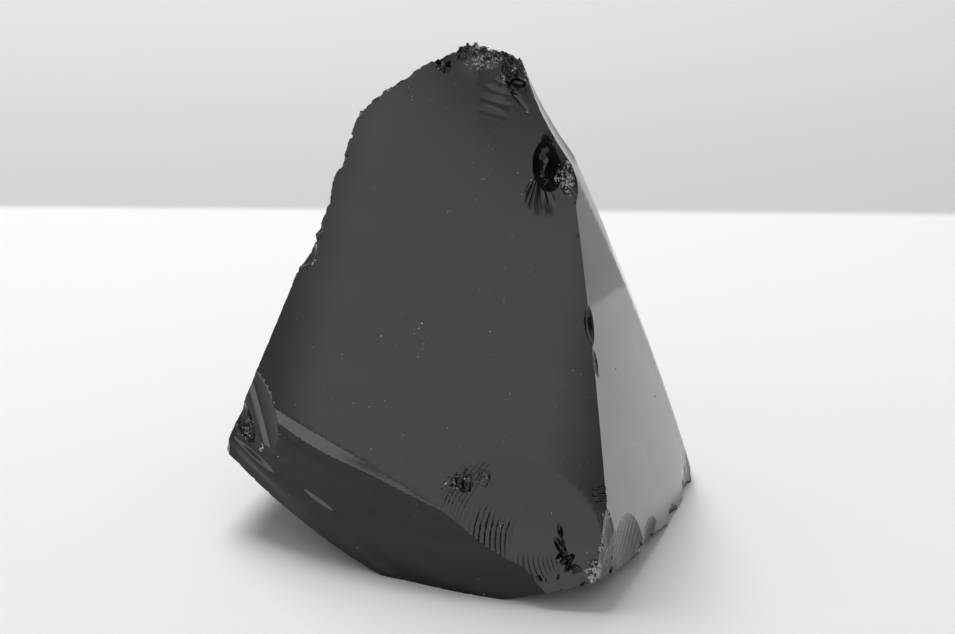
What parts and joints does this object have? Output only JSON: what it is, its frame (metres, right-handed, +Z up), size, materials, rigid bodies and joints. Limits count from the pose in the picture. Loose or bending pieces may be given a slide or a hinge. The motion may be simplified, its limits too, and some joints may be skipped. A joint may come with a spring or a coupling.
{
  "type": "obsidian chunk",
  "caption": "Knapped chunk of black volcanic glass with a broad smooth face, sharp broken edges and rippled flake scars, standing on its broken base.",
  "frame": {"origin": "middle of the footprint box, on the surface the stone stands on", "axes": "+Z up, the broad smooth face looks along -Y, and the narrower lit face looks along +X"},
  "size_m": [0.1188, 0.0926, 0.1202],
  "materials": {
    "obsidian": "glossy glassy black, with whitish crushed spots along the broken edges"
  },
  "bodies": {
    "root": {"obsidian_chunk": "obsidian"}
  },
  "joints": []
}
